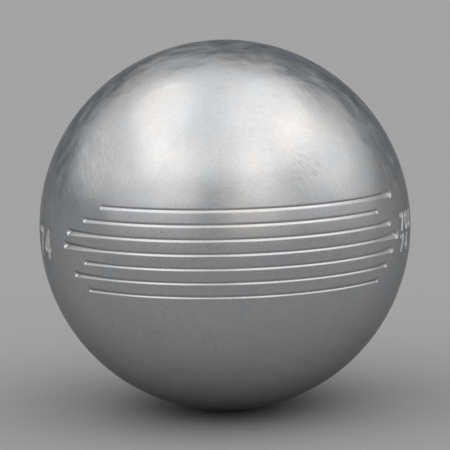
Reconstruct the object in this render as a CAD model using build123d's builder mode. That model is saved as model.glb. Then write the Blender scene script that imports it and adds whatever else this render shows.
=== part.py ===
"""Petanque boule: two forged steel half shells, welded at the equator and engraved."""
import os
from math import asin, copysign, cos, degrees, radians, sin, sqrt, tan

from build123d import *

# Ball, in millimetres
BALL_DIAMETER = 74.0
WALL = 6.15

# Weld at the equator, ground flush outside
WELD_CAP_WIDTH = 3.7
WELD_ROOT_WIDTH = 1.4
ROOT_BEAD_HEIGHT = 0.6

# Engraved grooves, cut by a cone that points at the ball's axis, each a step shallower than the one above
GROOVE_PITCH = 2.72
GROOVE_DEPTH = 0.38
GROOVE_DEPTH_STEP = 0.018
CONE_ANGLE = 90.0
CONE_STAND_OUT = 2.0
PLUNGE_DEPTH = 0.06

# The cone's path seen from above: a run about the ball's axis, then a tighter lead that dives at each end
LEFT_RUN_END = -34.0
RIGHT_RUN_END = 43.0
LEFT_LEAD_RADIUS = 32.3
RIGHT_LEAD_RADIUS = 25.8

# Longitudes where the cone plunges in each groove, its two ends first, from the top groove down.
# In two grooves it also stopped on the way. Zero is the middle of the group.
GROOVE_PLUNGES = [
    (-42.5, 58.1, 48.9),
    (-49.2, 49.0),
    (-56.9, 55.4),
    (-58.7, 60.3, -49.3),
    (-49.0, 57.1),
    (-54.3, 54.0),
    (-48.7, 50.2),
]
GROOVE_GROUPS = 2

# Sizes that follow from those
ball_radius = BALL_DIAMETER / 2
bore_radius = ball_radius - WALL
cap_half = WELD_CAP_WIDTH / 2
root_half = WELD_ROOT_WIDTH / 2
cap_edge_radius = sqrt(ball_radius**2 - cap_half**2)
root_edge_radius = sqrt(bore_radius**2 - root_half**2)
bead_radius = bore_radius - ROOT_BEAD_HEIGHT
cone_height = GROOVE_DEPTH + CONE_STAND_OUT
cone_radius = cone_height * tan(radians(CONE_ANGLE / 2))
middle_row = (len(GROOVE_PLUNGES) - 1) / 2
front = -90.0


def half_shell_section():
    """Section of the upper half shell, with the bevel that takes the weld."""
    with BuildSketch(Plane.XZ) as section:
        with BuildLine():
            RadiusArc((cap_edge_radius, cap_half), (0, ball_radius), -ball_radius)
            Line((0, ball_radius), (0, bore_radius))
            RadiusArc((0, bore_radius), (root_edge_radius, root_half), bore_radius)
            Line((root_edge_radius, root_half), (cap_edge_radius, cap_half))
        make_face()
    return section.sketch


def weld_section():
    """Section of the weld: flush cap, two bevelled flanks and a rounded root bead."""
    with BuildSketch(Plane.XZ) as section:
        with BuildLine():
            RadiusArc((cap_edge_radius, -cap_half), (cap_edge_radius, cap_half), -ball_radius)
            Line((cap_edge_radius, cap_half), (root_edge_radius, root_half))
            ThreePointArc((root_edge_radius, root_half), (bead_radius, 0), (root_edge_radius, -root_half))
            Line((root_edge_radius, -root_half), (cap_edge_radius, -cap_half))
        make_face()
    return section.sketch


def facing(longitude):
    """Upright plane through the ball's axis, with X pointing out at this longitude."""
    turn = radians(front + longitude)
    return Plane(origin=(0, 0, 0), x_dir=(cos(turn), sin(turn), 0), z_dir=(sin(turn), -cos(turn), 0))


def cone_section(longitude, tip_radius, level):
    """Section of the cutting cone, standing on the run at this longitude."""
    with BuildSketch(facing(longitude)) as section:
        with BuildLine():
            Polyline(
                (tip_radius, level),
                (tip_radius + cone_height, level + cone_radius),
                (tip_radius + cone_height, level - cone_radius),
                close=True,
            )
        make_face()
    return section.sketch


def path_at(longitude, tip_radius):
    """Pivot and radius of the path's arc at this longitude, and the way that the cone faces there."""
    run_end = copysign(LEFT_RUN_END if longitude < 0 else RIGHT_RUN_END, longitude)
    lead_radius = LEFT_LEAD_RADIUS if longitude < 0 else RIGHT_LEAD_RADIUS
    past_run = abs(longitude) - abs(run_end)
    if past_run <= 0:
        return Vector(0, 0, 0), tip_radius, longitude
    offset = tip_radius - lead_radius
    swing = past_run + degrees(asin(offset * sin(radians(past_run)) / lead_radius))
    return facing(run_end).x_dir * offset, lead_radius, run_end + copysign(swing, run_end)


def engrave_lead(end, tip_radius, level):
    """Cut one end of a groove, from the end of its run to where the cone stops."""
    run_end = LEFT_RUN_END if end < 0 else RIGHT_RUN_END
    pivot, _, heading = path_at(end, tip_radius)
    section = cone_section(run_end, tip_radius, level)
    revolve(section, Axis(pivot, (0, 0, copysign(1, end))), revolution_arc=abs(heading - run_end))


def engrave_plunge(longitude, tip_radius, level):
    """Sink the cone a little below its path, where it stops."""
    pivot, path_radius, heading = path_at(longitude, tip_radius)
    outward = facing(heading).x_dir
    tip = pivot + outward * (path_radius - PLUNGE_DEPTH) + Vector(0, 0, level)
    with Locations(Plane(origin=tip, z_dir=outward)):
        Cone(0, cone_radius, cone_height, align=(Align.CENTER, Align.CENTER, Align.MIN))


def engrave_groove(row, plunges):
    """Cut one groove: the even run along its middle, a lead at each end, and the plunges."""
    level = (middle_row - row) * GROOVE_PITCH
    depth = GROOVE_DEPTH + (middle_row - row) * GROOVE_DEPTH_STEP
    tip_radius = sqrt(ball_radius**2 - level**2) - depth
    left_end, right_end = plunges[:2]
    run_start = max(left_end, LEFT_RUN_END)
    run_stop = min(right_end, RIGHT_RUN_END)
    revolve(cone_section(run_start, tip_radius, level), Axis.Z, revolution_arc=run_stop - run_start)
    if left_end < LEFT_RUN_END:
        engrave_lead(left_end, tip_radius, level)
    if right_end > RIGHT_RUN_END:
        engrave_lead(right_end, tip_radius, level)
    for longitude in plunges:
        engrave_plunge(longitude, tip_radius, level)


# Everything that the cone removes, first from the front of the ball and then from all of it
with BuildPart() as groove_group:
    for row, plunges in enumerate(GROOVE_PLUNGES):
        engrave_groove(row, plunges)

with BuildPart() as engraving:
    with PolarLocations(0, GROOVE_GROUPS):
        add(groove_group.part)

with BuildPart() as upper_half_shell:
    add(half_shell_section())
    revolve(axis=Axis.Z)
    add(engraving.part, mode=Mode.SUBTRACT)

with BuildPart() as lower_half_shell:
    add(half_shell_section())
    revolve(axis=Axis.Z)
    mirror(about=Plane.XY, mode=Mode.REPLACE)
    add(engraving.part, mode=Mode.SUBTRACT)

with BuildPart() as weld_seam:
    add(weld_section())
    revolve(axis=Axis.Z)
    add(engraving.part, mode=Mode.SUBTRACT)

os.makedirs("parts", exist_ok=True)
upper_half_shell.part.label = "upper_half_shell"
export_step(upper_half_shell.part, "parts/upper_half_shell.step")
lower_half_shell.part.label = "lower_half_shell"
export_step(lower_half_shell.part, "parts/lower_half_shell.step")
weld_seam.part.label = "weld_seam"
export_step(weld_seam.part, "parts/weld_seam.step")
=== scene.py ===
"""Petanque boule: engraved steel half shells and their weld, dressed and set in a plain studio."""
import logging
import math
from dataclasses import dataclass, field
from enum import Enum

import bmesh
import bpy
from mathutils import Euler, Matrix, Vector


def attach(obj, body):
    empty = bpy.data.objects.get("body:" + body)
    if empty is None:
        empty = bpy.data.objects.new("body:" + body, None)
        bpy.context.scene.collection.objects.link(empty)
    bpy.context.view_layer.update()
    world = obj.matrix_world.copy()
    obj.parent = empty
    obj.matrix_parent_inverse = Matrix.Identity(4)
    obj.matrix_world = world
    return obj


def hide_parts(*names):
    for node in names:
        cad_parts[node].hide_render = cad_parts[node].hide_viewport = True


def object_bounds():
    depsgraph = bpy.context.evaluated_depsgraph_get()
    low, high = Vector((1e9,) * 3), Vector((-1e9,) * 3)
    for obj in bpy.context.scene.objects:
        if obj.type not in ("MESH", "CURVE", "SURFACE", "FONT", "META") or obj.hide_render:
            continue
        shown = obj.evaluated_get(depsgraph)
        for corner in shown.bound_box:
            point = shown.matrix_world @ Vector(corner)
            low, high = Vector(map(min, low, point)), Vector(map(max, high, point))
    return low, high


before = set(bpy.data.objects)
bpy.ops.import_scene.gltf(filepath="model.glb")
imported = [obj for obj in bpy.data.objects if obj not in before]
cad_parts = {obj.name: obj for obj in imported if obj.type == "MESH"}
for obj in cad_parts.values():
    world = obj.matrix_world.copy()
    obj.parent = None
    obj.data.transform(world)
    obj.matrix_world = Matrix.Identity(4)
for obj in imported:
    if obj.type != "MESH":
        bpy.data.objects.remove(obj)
CAD_LOW, CAD_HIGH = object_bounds()

Socket = bpy.types.NodeSocket
Colour = tuple[float, float, float, float]

BODY = "root"
MILLIMETRE = 0.001
HALF_TURN = 180.0
QUARTER_TURN = 90.0
ORIGIN = Vector((0.0, 0.0, 0.0)).freeze()
UP = Vector((0.0, 0.0, 1.0)).freeze()
UNTURNED = Euler((0.0, 0.0, 0.0)).freeze()

# Longitudes start at the front, which lies this far round from the X axis, in degrees
FRONT = -90.0

# Points of a mesh that lie closer than this, in millimetres, are one
MERGE_DISTANCE = 5e-4

# Edges that turn by more than this stay sharp
CREASE_ANGLE = math.radians(55.0)

log = logging.getLogger("boule")


class Half(Enum):
    """Which half of the ball a shell is, as the sign of its height."""

    UPPER = 1
    LOWER = -1


@dataclass(frozen=True)
class Stroke:
    """One stroke of a stamped figure, in a cell one unit high.

    Attributes:
        start: One end of the stroke.
        end: Other end of the stroke.
        loop: Radius at which the stroke runs round that line, or zero to follow it.
    """

    start: tuple[float, float]
    end: tuple[float, float]
    loop: float = 0.0

    def distance(self, along: float, up: float) -> float:
        """Distance of a point from the middle of the stroke.

        Args:
            along: Place of the point across the cell.
            up: Height of the point in the cell.

        Returns:
            The distance, in cell heights.
        """
        run = self.end[0] - self.start[0]
        rise = self.end[1] - self.start[1]
        reach = (along - self.start[0]) * run + (up - self.start[1]) * rise
        share = min(max(reach / (run * run + rise * rise), 0.0), 1.0)
        gap = math.hypot(along - self.start[0] - share * run, up - self.start[1] - share * rise)
        return abs(gap - self.loop)


class Figure(Enum):
    """The figures that the stamps need, each a set of strokes."""

    ZERO = (Stroke((0.3, 0.3), (0.3, 0.7), loop=0.3),)
    FOUR = (
        Stroke((0.45, 0.0), (0.45, 1.0)),
        Stroke((0.45, 1.0), (0.0, 0.3)),
        Stroke((0.0, 0.3), (0.62, 0.3)),
    )
    SEVEN = (Stroke((0.0, 1.0), (0.6, 1.0)), Stroke((0.6, 1.0), (0.2, 0.0)))


@dataclass(frozen=True)
class Lead:
    """The tighter arc on which the cutting cone dives at one end of a groove.

    Attributes:
        run_end: Longitude where the even run stops, in degrees.
        radius: Radius of the arc, in millimetres.
    """

    run_end: float
    radius: float

    def tip_radius(self, longitude: float, run_radius: float) -> float:
        """Distance of the cone's tip from the ball's axis, past the end of the run.

        Args:
            longitude: Where on the lead, in degrees.
            run_radius: Distance of the tip from the axis along the run.

        Returns:
            The distance, in millimetres.
        """
        past = math.radians(longitude - self.run_end)
        offset = run_radius - self.radius
        return offset * math.cos(past) + math.sqrt(self.radius**2 - (offset * math.sin(past)) ** 2)


@dataclass(frozen=True)
class Groove:
    """One engraved groove: an even run, a lead at each end, and the stops where the cone sank.

    Attributes:
        level: Height of the groove's middle, in millimetres.
        run_radius: Distance of the cone's tip from the axis along the run.
        stops: Longitudes where the cone stopped, the two ends first.
        left: The lead at the left end.
        right: The lead at the right end.
        plunge: How far the cone sank at each stop.
        wear: How much of the tip's length was worn away, in parts of its nose.
        nose: How round the worn tip leaves the groove's floor.
    """

    level: float
    run_radius: float
    stops: tuple[float, ...]
    left: Lead
    right: Lead
    plunge: float
    wear: float
    nose: float = 0.1

    def tip_radius(self, longitude: float) -> float:
        """Distance of the cone's tip from the axis.

        Args:
            longitude: Where on the groove, in degrees from the middle of the group.

        Returns:
            The distance, in millimetres.
        """
        if longitude < self.left.run_end:
            return self.left.tip_radius(longitude, self.run_radius)
        if longitude > self.right.run_end:
            return self.right.tip_radius(longitude, self.run_radius)
        return self.run_radius

    def wall_radius(self, longitude: float, height: float) -> float:
        """Distance from the axis to the wall that the cone leaves.

        Args:
            longitude: Where round the ball, in degrees from the middle of the group.
            height: Height of the point, in millimetres.

        Returns:
            The distance, larger than the ball's own where the groove doesn't reach.
        """
        rise = height - self.level
        degree = math.radians(self.run_radius)
        nearest = min(max(longitude, self.stops[0]), self.stops[1])
        wall = self.tip_radius(nearest) + math.hypot(rise, (longitude - nearest) * degree, self.nose)
        for stop in self.stops:
            sunk = self.tip_radius(stop) - self.plunge
            wall = min(wall, sunk + math.hypot(rise, (longitude - stop) * degree, self.nose))
        return wall - (1.0 - self.wear) * self.nose


@dataclass(frozen=True)
class StampedNumber:
    """A plain number pressed into the side of the ball.

    Attributes:
        figures: The figures, left to right.
        longitude: Middle of the number, in degrees from the middle of the front group.
        level: Height of that middle above the equator.
        height: Height of a figure, in millimetres.
        pitch: Distance between figures.
        stroke: Half the width of a stroke.
        depth: Depth of a stroke.
        figure_width: Width of a figure, as a share of its height.
    """

    figures: tuple[Figure, ...]
    longitude: float
    level: float
    height: float = 2.8
    pitch: float = 3.2
    stroke: float = 0.55
    depth: float = 0.26
    figure_width: float = 0.6

    def press(self, longitude: float, height: float, ball_radius: float) -> float:
        """How deep the stamp is at a point.

        Args:
            longitude: Where round the ball, in degrees.
            height: Height of the point, in millimetres.
            ball_radius: Radius of the ball.

        Returns:
            The depth, in millimetres.
        """
        away = (longitude - self.longitude + HALF_TURN) % (2 * HALF_TURN) - HALF_TURN
        along = math.radians(away) * ball_radius
        cell = self.figure_width * self.height
        width = (len(self.figures) - 1) * self.pitch + cell
        rise = height - self.level
        if abs(along) > width / 2 + self.stroke or abs(rise) > self.height / 2 + self.stroke:
            return 0.0
        up = rise / self.height + 0.5
        nearest = self.stroke
        for place, figure in enumerate(self.figures):
            start = place * self.pitch - width / 2
            for stroke in figure.value:
                gap = stroke.distance((along - start) / self.height, up) * self.height
                nearest = min(nearest, gap)
        return self.depth * (1.0 - (nearest / self.stroke) ** 2)


@dataclass(frozen=True)
class Ball:
    """Driving sizes of the ball and its weld, in millimetres.

    Attributes:
        radius: Outer radius.
        wall: Thickness of the wall.
        cap_half: Half the width of the weld at the outside.
        root_half: Half the width of the weld at the bore.
        bead: Height of the weld's root bead inside.
    """

    radius: float
    wall: float = 6.15
    cap_half: float = 1.85
    root_half: float = 0.7
    bead: float = 0.6

    @property
    def bore(self) -> float:
        """Radius of the hollow inside."""
        return self.radius - self.wall

    @property
    def cap_edge(self) -> Vector:
        """Upper outer edge of the weld, in the plane of the X axis."""
        return Vector((math.sqrt(self.radius**2 - self.cap_half**2), 0.0, self.cap_half))

    @property
    def root_edge(self) -> Vector:
        """Upper inner edge of the weld, in the plane of the X axis."""
        return Vector((math.sqrt(self.bore**2 - self.root_half**2), 0.0, self.root_half))

    def latitude(self, height: float) -> float:
        """Latitude of a height on the outside, in radians."""
        return math.asin(height / self.radius)


@dataclass
class Engraving:
    """The two groups of grooves, and the numbers stamped between them.

    Attributes:
        ball: Sizes of the ball.
        pitch: Distance between grooves.
        depth: Depth of the middle groove.
        depth_step: How much deeper each groove is than the one below it.
        plunge: How far the cone sank where it stopped.
        wear: Wear of the cone's tip at the middle groove, in parts of its nose.
        wear_step: How much more worn it is at each groove than at the one below it.
        lip: Width over which a groove's lip is rounded.
        left: The lead at the left of every groove.
        right: The lead at the right of every groove.
        stops: Longitudes where the cone stopped in each groove, from the top groove down.
        numbers: The stamped numbers.
        grooves: The grooves, from the top one down.
    """

    ball: Ball
    pitch: float = 2.72
    depth: float = 0.38
    depth_step: float = 0.018
    plunge: float = 0.06
    wear: float = 1.3
    wear_step: float = 0.21
    lip: float = 0.05
    left: Lead = Lead(-34.0, 32.3)
    right: Lead = Lead(43.0, 25.8)
    stops: tuple[tuple[float, ...], ...] = (
        (-42.5, 58.1, 48.9),
        (-49.2, 49.0),
        (-56.9, 55.4),
        (-58.7, 60.3, -49.3),
        (-49.0, 57.1),
        (-54.3, 54.0),
        (-48.7, 50.2),
    )
    numbers: tuple[StampedNumber, ...] = (
        StampedNumber((Figure.SEVEN, Figure.ZERO, Figure.ZERO), longitude=70.5, level=1.9),
        StampedNumber((Figure.SEVEN, Figure.FOUR), longitude=68.0, level=-2.2),
        StampedNumber(
            (Figure.SEVEN, Figure.FOUR), longitude=-76.0, level=-1.0, height=4.8, pitch=4.6, stroke=0.75
        ),
    )
    grooves: list[Groove] = field(init=False)

    def __post_init__(self) -> None:
        """Work out each groove from the pitch and the depth."""
        middle = (len(self.stops) - 1) / 2
        self.grooves = []
        for row, stops in enumerate(self.stops):
            level = (middle - row) * self.pitch
            depth = self.depth + (middle - row) * self.depth_step
            wear = self.wear + (middle - row) * self.wear_step
            run_radius = math.sqrt(self.ball.radius**2 - level**2) - depth
            self.grooves.append(Groove(level, run_radius, stops, self.left, self.right, self.plunge, wear))

    def levels_between(self, low: float, high: float) -> list[float]:
        """Heights of the grooves between two heights, lowest first."""
        return sorted(groove.level for groove in self.grooves if low < groove.level < high)

    def reach(self) -> float:
        """Height above the equator that the engraving stays below."""
        return self.grooves[0].level + self.pitch / 2

    def cut(self, bm: bmesh.types.BMesh) -> None:
        """Press the outside of a piece in along its grooves and numbers.

        Args:
            bm: The piece, in millimetres.
        """
        outside = self.ball.radius - self.ball.wall / 2
        top = self.reach()
        for vert in bm.verts:
            if abs(vert.co.z) > top or vert.co.length < outside:
                continue
            skin = math.hypot(vert.co.x, vert.co.y)
            turn = math.degrees(math.atan2(vert.co.y, vert.co.x)) - FRONT
            share = self.skin_radius(turn, vert.co.z, skin) / skin
            vert.co.x *= share
            vert.co.y *= share

    def skin_radius(self, turn: float, height: float, skin: float) -> float:
        """Distance of the finished skin from the axis.

        Args:
            turn: Longitude from the middle of the front group, in degrees.
            height: Height of the point.
            skin: Distance of the plain ball's skin from the axis there.

        Returns:
            The distance, in millimetres.
        """
        longitude = (turn + QUARTER_TURN) % HALF_TURN - QUARTER_TURN
        for groove in self.grooves:
            if abs(height - groove.level) < self.pitch / 2:
                skin = self.blend(skin, groove.wall_radius(longitude, height))
        for number in self.numbers:
            skin -= number.press(turn, height, self.ball.radius)
        return skin

    def blend(self, skin: float, wall: float) -> float:
        """The smaller of two distances, rounded over the lip where they meet."""
        share = min(max(0.5 + 0.5 * (wall - skin) / self.lip, 0.0), 1.0)
        return wall + (skin - wall) * share - self.lip * share * (1.0 - share)


@dataclass(frozen=True)
class Sector:
    """A stretch of longitude and how finely the skin is divided there, in degrees.

    Attributes:
        stop: Longitude where the stretch ends.
        step: Width of one division.
    """

    stop: float
    step: float


# Fine where a number is stamped and where the grooves end, coarser between
SECTORS = (
    Sector(-63.0, 0.3),
    Sector(-40.0, 0.25),
    Sector(41.0, 1.0),
    Sector(64.0, 0.25),
    Sector(90.0, 0.3),
)


@dataclass
class BallPiece:
    """A piece of the ball, spun about its axis from a section.

    Attributes:
        name: Name of the finished object.
        node: The CAD node that it stands for.
        slot: The record's material slot, which is not used.
        ball: Sizes of the ball.
        engraving: What is cut into its outside.
        groove_step: Height of one division of the skin where it is engraved.
        cap_step: Angle of one division of the plain skin, in degrees.
        bore_step: Angle of one division of the hollow, in degrees.
    """

    name: str
    node: str
    slot: str
    ball: Ball
    engraving: Engraving
    groove_step: float = 0.124
    cap_step: float = 3.5
    bore_step: float = 10.0

    def section(self, bm: bmesh.types.BMesh) -> None:
        """Draw the section in the plane of the X axis."""
        raise NotImplementedError

    def arc(
        self,
        bm: bmesh.types.BMesh,
        start: bmesh.types.BMVert,
        angle: float,
        steps: int,
        centre: Vector = ORIGIN,
    ) -> bmesh.types.BMVert:
        """Carry a point of the section round a centre, leaving an arc behind it.

        Args:
            bm: The mesh that holds the section.
            start: The point that moves.
            angle: How far, in radians, from X towards Z.
            steps: Number of edges in the arc.
            centre: What it goes round.

        Returns:
            The point at the end of the arc.
        """
        spun = bmesh.ops.spin(
            bm, geom=[start], cent=centre, axis=(0, -1, 0), angle=angle, steps=max(steps, 1)
        )
        return next(item for item in spun["geom_last"] if isinstance(item, bmesh.types.BMVert))

    def engraved_arc(
        self, bm: bmesh.types.BMesh, start: bmesh.types.BMVert, begin: float, finish: float
    ) -> bmesh.types.BMVert:
        """Draw the engraved skin from one height to another, with a point on every groove's middle.

        Args:
            bm: The mesh that holds the section.
            start: The point at the first height.
            begin: First height, in millimetres.
            finish: Last height.

        Returns:
            The point at the last height.
        """
        levels = self.engraving.levels_between(min(begin, finish), max(begin, finish))
        heights = sorted([begin, *levels, finish], reverse=finish < begin)
        for here, there in zip(heights, heights[1:]):
            angle = self.ball.latitude(there) - self.ball.latitude(here)
            start = self.arc(bm, start, angle, round(abs(there - here) / self.groove_step))
        return start

    def stretch(self, begin: float, sector: Sector) -> bpy.types.Mesh:
        """Spin the section through one sector.

        Args:
            begin: Longitude where the sector begins, in degrees.
            sector: The sector.

        Returns:
            That stretch of the piece, in millimetres.
        """
        bm = bmesh.new()
        self.section(bm)
        ring = [*bm.verts, *bm.edges]
        turned = Matrix.Rotation(math.radians(FRONT + begin), 3, "Z")
        bmesh.ops.rotate(bm, cent=ORIGIN, matrix=turned, verts=bm.verts)
        width = sector.stop - begin
        angle = math.radians(width)
        bmesh.ops.spin(bm, geom=ring, cent=ORIGIN, axis=UP, angle=angle, steps=round(width / sector.step))
        mesh = bpy.data.meshes.new("stretch")
        bm.to_mesh(mesh)
        bm.free()
        return mesh

    def revolve(self) -> bmesh.types.BMesh:
        """Join the stretches of one half turn, then turn a copy of them about the axis.

        Returns:
            The whole piece, in millimetres.
        """
        whole = bmesh.new()
        begin = -QUARTER_TURN
        for sector in SECTORS:
            mesh = self.stretch(begin, sector)
            whole.from_mesh(mesh)
            bpy.data.meshes.remove(mesh)
            begin = sector.stop
        copy = bmesh.ops.duplicate(whole, geom=[*whole.verts, *whole.edges, *whole.faces])
        moved = [item for item in copy["geom"] if isinstance(item, bmesh.types.BMVert)]
        bmesh.ops.rotate(whole, cent=ORIGIN, matrix=Matrix.Rotation(math.pi, 3, "Z"), verts=moved)
        bmesh.ops.remove_doubles(whole, verts=whole.verts, dist=MERGE_DISTANCE)
        return whole

    def build(self) -> bpy.types.Object:
        """Make the piece and seat it on its body.

        Returns:
            The finished object, at the origin, with its place in its mesh.
        """
        bm = self.revolve()
        self.engraving.cut(bm)
        bmesh.ops.recalc_face_normals(bm, faces=bm.faces)
        for face in bm.faces:
            face.smooth = True
        for edge in bm.edges:
            edge.smooth = edge.calc_face_angle(0.0) < CREASE_ANGLE
        bmesh.ops.scale(bm, vec=(MILLIMETRE,) * 3, verts=bm.verts)
        mesh = bpy.data.meshes.new(self.name)
        bm.to_mesh(mesh)
        bm.free()
        piece = bpy.data.objects.new(self.name, mesh)
        bpy.context.scene.collection.objects.link(piece)
        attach(piece, BODY)
        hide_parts(self.node)
        return piece

    def dress(self, piece: bpy.types.Object, steel: bpy.types.Material) -> None:
        """Give the piece its finish."""
        piece.data.materials.append(steel)


@dataclass
class HalfShell(BallPiece):
    """One forged cup, with the bevel on its rim that takes the weld.

    Attributes:
        half: Which half of the ball it is.
    """

    half: Half = Half.UPPER

    def section(self, bm: bmesh.types.BMesh) -> None:
        """Draw the cup's skin, its bevel and its bore.

        Args:
            bm: The mesh that takes the section.
        """
        sign = self.half.value
        flip = Vector((1.0, 1.0, sign))
        rim = bm.verts.new(self.ball.cap_edge * flip)
        root = bm.verts.new(self.ball.root_edge * flip)
        bm.edges.new((rim, root))
        reach = self.engraving.reach()
        band = self.engraved_arc(bm, rim, sign * self.ball.cap_half, sign * reach)
        cap = math.pi / 2 - self.ball.latitude(reach)
        self.arc(bm, band, sign * cap, round(math.degrees(cap) / self.cap_step))
        hollow = math.pi / 2 - math.asin(self.ball.root_half / self.ball.bore)
        self.arc(bm, root, sign * hollow, round(math.degrees(hollow) / self.bore_step))


@dataclass
class WeldSeam(BallPiece):
    """The ring of weld metal, flush outside, with its root bead inside.

    Attributes:
        bead_steps: Number of divisions across the root bead.
    """

    bead_steps: int = 8

    def section(self, bm: bmesh.types.BMesh) -> None:
        """Draw the flush cap, the two flanks and the rounded root bead.

        Args:
            bm: The mesh that takes the section.
        """
        flip = Vector((1.0, 1.0, -1.0))
        lower_rim = bm.verts.new(self.ball.cap_edge * flip)
        lower_root = bm.verts.new(self.ball.root_edge * flip)
        upper_rim = self.engraved_arc(bm, lower_rim, -self.ball.cap_half, self.ball.cap_half)
        rise = self.ball.root_edge.x - self.ball.bore + self.ball.bead
        radius = (rise**2 + self.ball.root_half**2) / (2 * rise)
        centre = Vector((self.ball.bore - self.ball.bead + radius, 0.0, 0.0))
        start = lower_root.co - centre
        angle = -2 * math.atan2(-start.z, -start.x)
        upper_root = self.arc(bm, lower_root, angle, self.bead_steps, centre)
        bm.edges.new((lower_rim, lower_root))
        bm.edges.new((upper_rim, upper_root))


class Graph:
    """The nodes of one material, added a few at a time."""

    # Sockets of a Mix node that blends colours
    MIX_SHARE = 0
    MIX_FIRST = 6
    MIX_SECOND = 7
    MIX_RESULT = 2

    def __init__(self, material: bpy.types.Material) -> None:
        """Start from the material's own shader.

        Args:
            material: The material that takes the nodes.
        """
        material.use_nodes = True
        self.tree = material.node_tree
        self.shader = self.tree.nodes["Principled BSDF"]

    def node(self, kind: str) -> bpy.types.Node:
        """Add a node of this kind."""
        return self.tree.nodes.new(kind)

    def feed(self, socket: Socket, value: Socket | float | Vector | tuple[float, ...]) -> None:
        """Link a value to a socket, or set it there if it is a number.

        Args:
            socket: The socket.
            value: Another node's output, or the number, vector or colour itself.
        """
        if isinstance(value, Socket):
            self.tree.links.new(value, socket)
        else:
            socket.default_value = value

    def into(self, name: str, value: Socket) -> None:
        """Link a value to the shader's socket of this name."""
        self.tree.links.new(value, self.shader.inputs[name])

    def object_place(self) -> Socket:
        """Place on the ball, in metres from its centre."""
        return self.node("ShaderNodeTexCoord").outputs["Object"]

    def vector(
        self,
        operation: str,
        first: Socket,
        second: Socket | Vector | tuple[float, float, float] | None = None,
    ) -> bpy.types.Node:
        """Combine two vectors.

        Args:
            operation: Name of the operation.
            first: First vector.
            second: Second vector, where the operation has one.

        Returns:
            The node, with the result on its outputs.
        """
        node = self.node("ShaderNodeVectorMath")
        node.operation = operation
        self.feed(node.inputs[0], first)
        if second is not None:
            self.feed(node.inputs[1], second)
        return node

    def length(self, place: Socket, middle: Vector = ORIGIN) -> Socket:
        """Distance of a place from a point, in metres."""
        return self.vector("DISTANCE", place, middle).outputs["Value"]

    def part(self, place: Socket, axis: str) -> Socket:
        """One coordinate of a place.

        Args:
            place: The place.
            axis: Name of the axis.

        Returns:
            The coordinate.
        """
        node = self.node("ShaderNodeSeparateXYZ")
        self.feed(node.inputs[0], place)
        return node.outputs[axis]

    def unroll(self, place: Socket, radius: float) -> Socket:
        """Straighten the rings round the front of the ball.

        Args:
            place: Place on the ball.
            radius: Radius of the ball, in millimetres.

        Returns:
            A place whose Y is the distance from the front over the skin, and whose X and Z go round it.
        """
        flat = self.vector("MULTIPLY", place, (1.0, 0.0, 1.0)).outputs[0]
        depth = self.math("MULTIPLY", self.part(place, "Y"), -1.0)
        away = self.math("ARCTAN2", self.length(flat), depth)
        joined = self.node("ShaderNodeCombineXYZ")
        self.feed(joined.inputs["Y"], away)
        turned = self.vector("ADD", self.vector("NORMALIZE", flat).outputs[0], joined.outputs[0])
        scaled = self.vector("SCALE", turned.outputs[0])
        scaled.inputs["Scale"].default_value = radius * MILLIMETRE
        return scaled.outputs[0]

    def math(self, operation: str, first: Socket | float, second: Socket | float = 0.0) -> Socket:
        """Combine two values.

        Args:
            operation: Name of the operation.
            first: First value.
            second: Second value, where the operation has one.

        Returns:
            The result.
        """
        node = self.node("ShaderNodeMath")
        node.operation = operation
        self.feed(node.inputs[0], first)
        self.feed(node.inputs[1], second)
        return node.outputs[0]

    def spread(self, value: Socket, swing: float) -> Socket:
        """Turn a value about one half into one about zero, of this swing."""
        return self.math("MULTIPLY", self.math("SUBTRACT", value, 0.5), swing)

    def ramp(self, value: Socket, low: float, high: float) -> Socket:
        """Turn a value into a smooth step from 0 to 1.

        Args:
            value: The value.
            low: Limit below which the step is 0.
            high: Limit above which it is 1.

        Returns:
            The step.
        """
        node = self.node("ShaderNodeMapRange")
        node.interpolation_type = "SMOOTHSTEP"
        self.feed(node.inputs["Value"], value)
        node.inputs["From Min"].default_value = low
        node.inputs["From Max"].default_value = high
        return node.outputs["Result"]

    def noise(
        self,
        place: Socket,
        size: tuple[float, float, float],
        turn: Euler = UNTURNED,
        detail: float = 1.0,
    ) -> Socket:
        """Soft noise, which can be stretched and turned.

        Args:
            place: Where it is read.
            size: Size of a feature each way, in millimetres.
            turn: How it is turned.
            detail: Layers of finer noise.

        Returns:
            A value from 0 to 1.
        """
        mapping = self.node("ShaderNodeMapping")
        mapping.vector_type = "TEXTURE"
        mapping.inputs["Rotation"].default_value = turn
        mapping.inputs["Scale"].default_value = [side * MILLIMETRE for side in size]
        self.feed(mapping.inputs["Vector"], place)
        node = self.node("ShaderNodeTexNoise")
        node.inputs["Scale"].default_value = 1.0
        node.inputs["Detail"].default_value = detail
        self.feed(node.inputs["Vector"], mapping.outputs["Vector"])
        return node.outputs["Fac"]

    def sway(self, place: Socket, length: float, reach: float) -> Socket:
        """Move a place to and fro, so that lines through it bend.

        Args:
            place: The place.
            length: Distance over which it sways, in millimetres.
            reach: How far it moves, in millimetres.

        Returns:
            The moved place.
        """
        node = self.node("ShaderNodeTexNoise")
        node.inputs["Scale"].default_value = 1.0 / (length * MILLIMETRE)
        node.inputs["Detail"].default_value = 1.0
        self.feed(node.inputs["Vector"], place)
        centred = self.vector("SUBTRACT", node.outputs["Color"], (0.5, 0.5, 0.5))
        moved = self.vector("MULTIPLY_ADD", centred.outputs[0], (reach * MILLIMETRE,) * 3)
        self.feed(moved.inputs[2], place)
        return moved.outputs[0]

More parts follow.
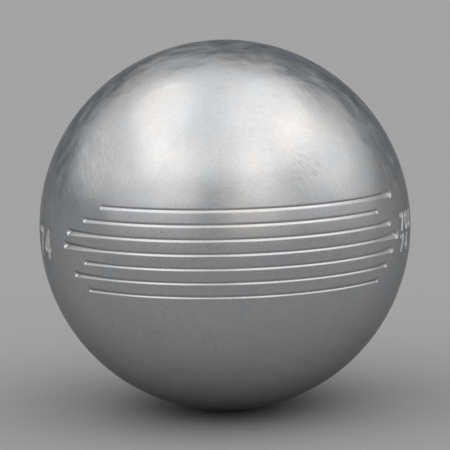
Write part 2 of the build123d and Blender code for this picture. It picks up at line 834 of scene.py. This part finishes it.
    def mix_colour(self, share: Socket, first: Socket | Colour, second: Colour) -> Socket:
        """Blend two colours.

        Args:
            share: Share of the second colour.
            first: First colour.
            second: Second colour.

        Returns:
            The blended colour.
        """
        node = self.node("ShaderNodeMix")
        node.data_type = "RGBA"
        self.feed(node.inputs[self.MIX_SHARE], share)
        self.feed(node.inputs[self.MIX_FIRST], first)
        node.inputs[self.MIX_SECOND].default_value = second
        return node.outputs[self.MIX_RESULT]

    def paint(self, colour: Socket, tone: Socket) -> None:
        """Colour the shader, lighter or darker by a tone.

        Args:
            colour: Colour at a tone of one.
            tone: The tone.
        """
        node = self.vector("SCALE", colour)
        self.feed(node.inputs["Scale"], tone)
        self.into("Base Color", node.outputs[0])

    def bump(self, height: Socket, unit: float) -> None:
        """Raise the shader's surface by a height.

        Args:
            height: The height.
            unit: Length of one unit of it, in metres.
        """
        node = self.node("ShaderNodeBump")
        node.inputs["Strength"].default_value = 1.0
        node.inputs["Distance"].default_value = unit
        self.feed(node.inputs["Height"], height)
        self.into("Normal", node.outputs["Normal"])


class Rub(Enum):
    """What a rubbed stroke leaves on the skin, as the steel's colour there."""

    BRIGHT = (0.78, 0.78, 0.78, 1.0)
    DULL = (0.4, 0.41, 0.42, 1.0)
    BROWN = (0.4, 0.35, 0.29, 1.0)


@dataclass(frozen=True)
class Scuff:
    """A patch of short rubbed strokes on the skin, in millimetres and degrees.

    Attributes:
        longitude: Middle of the patch, from the middle of the front group.
        height: Height of its middle above the equator.
        reach: Radius of the patch.
        lean: How far its strokes lean to the right of upright.
        rub: What the strokes leave.
        share: How strong they are.
        width: Width of a stroke.
        length: Length of a stroke.
        core: Share of the patch's radius inside which the strokes are full.
        stroke_range: Range of the stroke noise over which a stroke shows.
    """

    longitude: float
    height: float
    reach: float
    lean: float
    rub: Rub
    share: float
    width: float = 0.45
    length: float = 3.0
    core: float = 0.4
    stroke_range: tuple[float, float] = (0.52, 0.64)

    def middle(self, radius: float) -> Vector:
        """Middle of the patch.

        Args:
            radius: Radius of the ball.

        Returns:
            The point on the ball.
        """
        turn = math.radians(FRONT + self.longitude)
        ring = math.sqrt(radius**2 - self.height**2)
        return Vector((ring * math.cos(turn), ring * math.sin(turn), self.height))

    def turn(self, radius: float) -> Euler:
        """How the strokes are turned.

        Args:
            radius: Radius of the ball.

        Returns:
            The rotation whose Y points out of the skin and whose Z runs along the strokes.
        """
        out = self.middle(radius).normalized()
        up = (UP - out * out.z).normalized()
        lean = math.radians(self.lean)
        along = up * math.cos(lean) + up.cross(out) * math.sin(lean)
        return Matrix((out.cross(along), out, along)).transposed().to_euler()


@dataclass(frozen=True)
class SatinSteel:
    """Steel with the satin that a polishing wheel leaves, in millimetres where a field is a length.

    Attributes:
        name: Name of the material.
        radius: Radius of the ball.
        cool: Reflected colour where the steel is bluest.
        warm: Reflected colour where it is warmest.
        edge_tint: Colour of the reflection at a grazing angle.
        tint_size: Size of the patches of cool and warm steel.
        tint_detail: Layers of finer noise in the patches.
        tint_range: Range of the patch noise over which the colour changes.
        cloud_tone: How much the tone varies from patch to patch, as a share.
        roughness: Mean roughness.
        roughness_swing: How far the roughness varies from ripple to ripple.
        stroke_swing: How far it varies from stroke to stroke.
        stroke_width: Width of a polishing stroke.
        stroke_length: Length of a polishing stroke.
        stroke_detail: Layers of finer noise in the strokes.
        stroke_height: Height of a polishing stroke.
        stroke_tone: How much a stroke is lighter or darker, as a share.
        grain_size: Size of the fine grain between the strokes.
        grain_tone: How much the grain is lighter or darker, as a share.
        ripple_width: Width of the broader ripples along the strokes.
        ripple_length: Length of those ripples.
        ripple_height: Height of those ripples.
        ripple_start: Angle from the front or back of the ball where they start to grow, in degrees.
        ripple_full: Angle from the front or back where they are full.
        ripple_calm: Share of them that is left at the front and back.
        ripple_fade: Heights over which they grow from none, at the bottom of the ball.
        sway_length: Distance over which the strokes bend.
        sway: How far they bend.
        wave_size: Size of the shallow waves that hand polishing leaves.
        wave_height: Height of those waves.
        groove_depth: Depth below the skin where the freshly cut steel starts.
        groove_tone: How much lighter the freshly cut steel is, as a share.
        stamp_start: Distance out to the side, as a share of the radius, past which a cut is a stamp.
        stamp_highlight_tone: How much lighter the frosted strokes of a stamp are, as a share, partly
            frosted steel and partly a painted highlight where their struck edges catch the light.
        stamp_frost: How much rougher they are.
        exit_start: Distance out to the side, as a share of the radius, where a cutter starts to lift out.
        exit_full: Distance where it is out, as a share of the radius.
        exit_frost: How much rougher a cut is there.
        scuffs: The rubbed patches.
    """

    name: str
    radius: float
    cool: Colour = (0.512, 0.522, 0.532, 1.0)
    warm: Colour = (0.532, 0.522, 0.51, 1.0)
    edge_tint: Colour = (0.47, 0.49, 0.51, 1.0)
    tint_size: float = 11.0
    tint_detail: float = 3.0
    tint_range: tuple[float, float] = (0.35, 0.68)
    cloud_tone: float = 0.1
    roughness: float = 0.33
    roughness_swing: float = 0.4
    stroke_swing: float = 0.22
    stroke_width: float = 0.4
    stroke_length: float = 2.6
    stroke_detail: float = 2.0
    stroke_height: float = 0.003
    stroke_tone: float = 0.23
    grain_size: float = 0.4
    grain_tone: float = 0.22
    ripple_width: float = 2.8
    ripple_length: float = 5.0
    ripple_height: float = 0.035
    ripple_start: float = 48.0
    ripple_full: float = 72.0
    ripple_calm: float = 0.2
    ripple_fade: tuple[float, float] = (-24.0, 4.0)
    sway_length: float = 12.0
    sway: float = 8.0
    wave_size: float = 7.0
    wave_height: float = 0.12
    groove_depth: float = 0.05
    groove_tone: float = 0.06
    stamp_start: float = 0.88
    # Stamped strokes lighter: partly frosted steel, partly a painted highlight
    stamp_highlight_tone: float = 0.32
    stamp_frost: float = 0.3
    exit_start: float = 0.7
    exit_full: float = 0.85
    exit_frost: float = 0.3
    scuffs: tuple[Scuff, ...] = (
        Scuff(24.1, 14.8, reach=4.5, lean=-43.0, rub=Rub.BROWN, share=0.6, width=0.25, length=2.2),
        Scuff(-56.0, 15.0, reach=12.0, lean=-40.0, rub=Rub.BRIGHT, share=0.42, width=0.3, length=4.0),
        Scuff(40.0, 27.5, reach=7.0, lean=-6.0, rub=Rub.DULL, share=0.5),
        Scuff(-26.1, -16.7, reach=3.5, lean=55.0, rub=Rub.DULL, share=0.35),
        Scuff(-8.5, -17.3, reach=4.5, lean=-12.0, rub=Rub.DULL, share=0.35),
    )

    def material(self) -> bpy.types.Material:
        """Make the material.

        Returns:
            The finished material.
        """
        made = bpy.data.materials.new(self.name)
        graph = Graph(made)
        place = graph.object_place()
        skin = self.skin(graph, place)
        swayed = graph.sway(place, self.sway_length, self.sway)
        ring = graph.unroll(swayed, self.radius)
        fine = (self.stroke_length, self.stroke_width, self.stroke_length)
        lines = graph.noise(ring, fine, detail=self.stroke_detail)
        strokes = graph.math("MULTIPLY", graph.spread(lines, 1.0), skin)
        patch = graph.noise(place, (self.tint_size,) * 3, detail=self.tint_detail)
        stamp = self.stamp(graph, place, skin)
        self.colour(graph, place, strokes, patch, skin, stamp)
        side = graph.math("MULTIPLY", self.side(graph, swayed), skin)
        broad = (self.ripple_length, self.ripple_width, self.ripple_length)
        ripples = graph.math("MULTIPLY", graph.spread(graph.noise(ring, broad), 1.0), side)
        swing = graph.math("MULTIPLY", ripples, self.roughness_swing)
        hairs = graph.math("MULTIPLY", graph.math("MULTIPLY", strokes, side), self.stroke_swing)
        frosted = graph.math("MULTIPLY", stamp, self.stamp_frost)
        frost = graph.math("MAXIMUM", frosted, self.cutter_exit(graph, place, skin))
        rough = graph.math("ADD", graph.math("ADD", swing, hairs), graph.math("ADD", frost, self.roughness))
        graph.into("Roughness", rough)
        waves = graph.spread(graph.noise(place, (self.wave_size,) * 3), self.wave_height)
        raised = graph.math("MULTIPLY", strokes, self.stroke_height)
        rise = graph.math("ADD", raised, graph.math("MULTIPLY", ripples, self.ripple_height))
        graph.bump(graph.math("ADD", rise, waves), MILLIMETRE)
        graph.shader.inputs["Metallic"].default_value = 1.0
        graph.shader.inputs["Specular Tint"].default_value = self.edge_tint
        return made

    def side(self, graph: Graph, place: Socket) -> Socket:
        """Share of the ripples at a place, which grow to the sides and fade to the bottom.

        Args:
            graph: The material's nodes.
            place: Place on the ball.

        Returns:
            The share.
        """
        start = self.radius * MILLIMETRE * math.cos(math.radians(self.ripple_start))
        full = self.radius * MILLIMETRE * math.cos(math.radians(self.ripple_full))
        end = graph.ramp(graph.math("ABSOLUTE", graph.part(place, "Y")), full, start)
        grown = graph.math("SUBTRACT", 1.0, graph.math("MULTIPLY", end, 1.0 - self.ripple_calm))
        low, high = (height * MILLIMETRE for height in self.ripple_fade)
        return graph.math("MULTIPLY", grown, graph.ramp(graph.part(place, "Z"), low, high))

    def skin(self, graph: Graph, place: Socket) -> Socket:
        """Share of polished skin: one on the ball, none in a groove."""
        edge = (self.radius - self.groove_depth) * MILLIMETRE
        return graph.ramp(graph.length(place), edge - self.groove_depth * MILLIMETRE, edge)

    def stamp(self, graph: Graph, place: Socket, skin: Socket) -> Socket:
        """Share of stamped stroke: one in a cut far out at the side of the ball, none elsewhere.

        Args:
            graph: The material's nodes.
            place: Place on the ball.
            skin: Share of polished skin.

        Returns:
            The share.
        """
        out = graph.math("ABSOLUTE", graph.part(place, "X"))
        start = self.stamp_start * self.radius * MILLIMETRE
        side = graph.ramp(out, start, start + self.groove_depth * MILLIMETRE)
        return graph.math("MULTIPLY", graph.math("SUBTRACT", 1.0, skin), side)

    def cutter_exit(self, graph: Graph, place: Socket, skin: Socket) -> Socket:
        """Added roughness of the cuts at the right end of each group, where the cutter lifts out.

        Args:
            graph: The material's nodes.
            place: Place on the ball.
            skin: Share of polished skin.

        Returns:
            The added roughness.
        """
        group = graph.math("SIGN", graph.part(place, "Y"))
        right = graph.math("MULTIPLY", graph.math("MULTIPLY", graph.part(place, "X"), group), -1.0)
        start, full = (share * self.radius * MILLIMETRE for share in (self.exit_start, self.exit_full))
        cut = graph.math("MULTIPLY", graph.math("SUBTRACT", 1.0, skin), graph.ramp(right, start, full))
        return graph.math("MULTIPLY", cut, self.exit_frost)

    def colour(
        self,
        graph: Graph,
        place: Socket,
        strokes: Socket,
        patch: Socket,
        skin: Socket,
        stamp: Socket,
    ) -> None:
        """Colour the steel by its patches, strokes, scuffs and fresh cuts, with a painted highlight on the
        stamped strokes.

        Args:
            graph: The material's nodes.
            place: Place on the ball.
            strokes: The polishing strokes, about zero.
            patch: Noise of the tint patches.
            skin: Share of polished skin.
            stamp: Share of stamped stroke.
        """
        tone = graph.math("ADD", graph.math("MULTIPLY", strokes, self.stroke_tone), 1.0 + self.groove_tone)
        tone = graph.math("ADD", tone, graph.spread(patch, self.cloud_tone))
        grain = graph.noise(place, (self.grain_size,) * 3)
        tone = graph.math("ADD", tone, graph.spread(grain, self.grain_tone))
        tone = graph.math("SUBTRACT", tone, graph.math("MULTIPLY", skin, self.groove_tone))
        # Stamped strokes are painted lighter: partly frosted steel, partly a painted highlight where their
        # struck edges catch the light
        tone = graph.math("ADD", tone, graph.math("MULTIPLY", stamp, self.stamp_highlight_tone))
        steel = graph.mix_colour(graph.ramp(patch, *self.tint_range), self.cool, self.warm)
        for scuff in self.scuffs:
            steel = graph.mix_colour(self.rub(graph, place, scuff), steel, scuff.rub.value)
        graph.paint(steel, tone)

    def rub(self, graph: Graph, place: Socket, scuff: Scuff) -> Socket:
        """Share of the skin that a scuff has rubbed.

        Args:
            graph: The material's nodes.
            place: Place on the ball.
            scuff: The scuff.

        Returns:
            The share, none outside the scuff.
        """
        middle = scuff.middle(self.radius) * MILLIMETRE
        reach = scuff.reach * MILLIMETRE
        edge = graph.ramp(graph.length(place, middle), scuff.core * reach, reach)
        near = graph.math("SUBTRACT", 1.0, edge)
        stroke = (scuff.width, scuff.length, scuff.length)
        lines = graph.ramp(graph.noise(place, stroke, scuff.turn(self.radius)), *scuff.stroke_range)
        return graph.math("MULTIPLY", graph.math("MULTIPLY", near, lines), scuff.share)


@dataclass(frozen=True)
class SoftLamp:
    """A large round diffuser, which lights from far off as an even disc.

    Attributes:
        name: Name of the lamp.
        azimuth: Where it stands, in degrees from the front towards the right.
        elevation: How high it stands, in degrees.
        spread: Angle across the disc, in degrees.
        radiance: Brightness of the disc.
        colour: Colour of its light.
    """

    name: str
    azimuth: float
    elevation: float
    spread: float
    radiance: float
    colour: tuple[float, float, float] = (1.015, 0.995, 0.98)

    def build(self) -> None:
        """Hang the lamp."""
        data = bpy.data.lights.new(self.name, "SUN")
        data.angle = math.radians(self.spread)
        data.energy = self.radiance * math.pi * math.sin(data.angle / 2) ** 2
        data.color = self.colour
        lamp = bpy.data.objects.new(self.name, data)
        lamp.rotation_mode = "QUATERNION"
        lamp.rotation_quaternion = toward(self.azimuth, self.elevation).to_track_quat("Z", "Y")
        bpy.context.scene.collection.objects.link(lamp)


def toward(azimuth: float, elevation: float) -> Vector:
    """Direction from the ball.

    Args:
        azimuth: Degrees from the front towards the right.
        elevation: Degrees above the horizon.

    Returns:
        The direction, one unit long.
    """
    turn = math.radians(azimuth)
    lift = math.radians(elevation)
    return Vector((math.sin(turn) * math.cos(lift), -math.cos(turn) * math.cos(lift), math.sin(lift)))


@dataclass
class Studio:
    """The pale floor, the lamps and the camera, in metres and degrees.

    Attributes:
        ground: Height of the floor.
        floor_radius: Radius of the flat floor.
        rim_radius: Radius at which the gentle sweep round it ends.
        rim_height: Height of the sweep's edge above the floor.
        sweep_steps: Divisions across the sweep.
        floor_colour: Colour of the floor.
        room_level: Brightness of the room round the lamps.
        room_colour: Colour of the room.
        lamps: The lamps.
        elevation: Height of the camera above the horizon.
        azimuth: Where the camera stands.
        roll: How far the camera leans.
        distance: Distance from the camera to the ball's centre.
        lens: Focal length, in millimetres.
        sensor: Width of the camera's sensor, in millimetres.
        spin_steps: Divisions round the floor.
    """

    ground: float
    floor_radius: float = 1.8
    rim_radius: float = 5.0
    rim_height: float = 0.36
    sweep_steps: int = 24
    floor_colour: Colour = (0.33, 0.33, 0.33, 1.0)
    room_level: float = 0.25
    room_colour: Colour = (0.93, 0.995, 1.07, 1.0)
    lamps: tuple[SoftLamp, ...] = (
        SoftLamp("overhead_lamp", -10.0, 80.0, spread=88.0, radiance=0.88),
        SoftLamp("left_lamp", -102.0, 45.0, spread=64.0, radiance=0.66),
        SoftLamp("right_lamp", 76.0, 44.0, spread=86.0, radiance=0.48),
        SoftLamp("side_lamp", 80.0, 37.0, spread=42.0, radiance=0.62),
        SoftLamp("front_left_lamp", -44.0, 36.0, spread=40.0, radiance=0.56),
        SoftLamp("front_right_lamp", 16.0, 36.0, spread=28.0, radiance=0.62),
        SoftLamp("back_left_lamp", -162.0, 40.0, spread=20.0, radiance=0.5),
        SoftLamp("low_left_lamp", -48.0, 13.0, spread=62.0, radiance=0.48),
        SoftLamp("low_right_lamp", 17.0, 14.0, spread=40.0, radiance=0.6),
    )
    elevation: float = 8.521
    azimuth: float = -3.0
    roll: float = 1.27
    distance: float = 0.46194
    lens: float = 184.71
    sensor: float = 36.0
    spin_steps: int = 96

    def spin_stage(self, name: str, points: list[tuple[float, float]]) -> bpy.types.Object:
        """Spin a line into a round stage piece.

        Args:
            name: Name of the piece.
            points: Radius and height of each point of the line.

        Returns:
            The piece.
        """
        bm = bmesh.new()
        line = [bm.verts.new((radius, 0.0, height)) for radius, height in points]
        for here, there in zip(line, line[1:]):
            bm.edges.new((here, there))
        bmesh.ops.spin(
            bm,
            geom=[*bm.verts, *bm.edges],
            cent=ORIGIN,
            axis=UP,
            angle=2 * math.pi,
            steps=self.spin_steps,
            use_merge=True,
        )
        bmesh.ops.remove_doubles(bm, verts=bm.verts, dist=MERGE_DISTANCE * MILLIMETRE)
        bmesh.ops.recalc_face_normals(bm, faces=bm.faces)
        for face in bm.faces:
            face.smooth = True
        mesh = bpy.data.meshes.new(name)
        bm.to_mesh(mesh)
        bm.free()
        piece = bpy.data.objects.new(name, mesh)
        bpy.context.scene.collection.objects.link(piece)
        return piece

    def lay_floor(self) -> None:
        """Lay the pale floor, which curves up gently all round its edge."""
        points = [(0.0, self.ground)]
        for step in range(self.sweep_steps + 1):
            share = step / self.sweep_steps
            radius = self.floor_radius + share * (self.rim_radius - self.floor_radius)
            points.append((radius, self.ground + self.rim_height * share**2))
        paint = bpy.data.materials.new("floor_paint")
        shader = Graph(paint).shader
        shader.inputs["Base Color"].default_value = self.floor_colour
        shader.inputs["Roughness"].default_value = 1.0
        shader.inputs["Specular IOR Level"].default_value = 0.0
        self.spin_stage("floor", points).data.materials.append(paint)

    def light(self) -> None:
        """Set the room's level and hang the lamps."""
        world = bpy.data.worlds.new("room")
        world.use_nodes = True
        background = world.node_tree.nodes["Background"]
        background.inputs["Color"].default_value = self.room_colour
        background.inputs["Strength"].default_value = self.room_level
        bpy.context.scene.world = world
        for lamp in self.lamps:
            lamp.build()

    def aim_camera(self) -> None:
        """Stand the camera where the photograph was taken from."""
        lean = math.radians(self.roll)
        back = toward(self.azimuth, self.elevation)
        across = toward(self.azimuth + QUARTER_TURN, 0.0)
        up = back.cross(across)
        right = across * math.cos(lean) - up * math.sin(lean)
        top = up * math.cos(lean) + across * math.sin(lean)
        data = bpy.data.cameras.new("camera")
        data.sensor_width = self.sensor
        data.lens = self.lens
        camera = bpy.data.objects.new("camera", data)
        turned = Matrix((right, top, back)).transposed().to_4x4()
        camera.matrix_world = Matrix.Translation(back * self.distance) @ turned
        bpy.context.scene.collection.objects.link(camera)
        bpy.context.scene.camera = camera

    def build(self) -> None:
        """Set the whole studio."""
        self.lay_floor()
        self.light()
        self.aim_camera()
        bpy.context.scene.view_settings.view_transform = "Standard"


def main() -> None:
    """Build the ball, dress it and set the studio round it."""
    logging.basicConfig(level=logging.INFO)
    ball = Ball(radius=CAD_HIGH.z / MILLIMETRE)
    engraving = Engraving(ball)
    shell_steel = SatinSteel("shell_steel", ball.radius).material()
    weld_steel = SatinSteel("weld_steel", ball.radius).material()
    upper = HalfShell("upper_shell", "upper_half_shell", "shell_steel", ball, engraving)
    lower = HalfShell("lower_shell", "lower_half_shell", "shell_steel", ball, engraving, half=Half.LOWER)
    weld = WeldSeam("weld_ring", "weld_seam", "weld_steel", ball, engraving)
    for part, steel in ((upper, shell_steel), (lower, shell_steel), (weld, weld_steel)):
        piece = part.build()
        part.dress(piece, steel)
        log.info("%s: %d faces", piece.name, len(piece.data.polygons))
    Studio(ground=CAD_LOW.z).build()


if __name__ == "__main__":
    main()
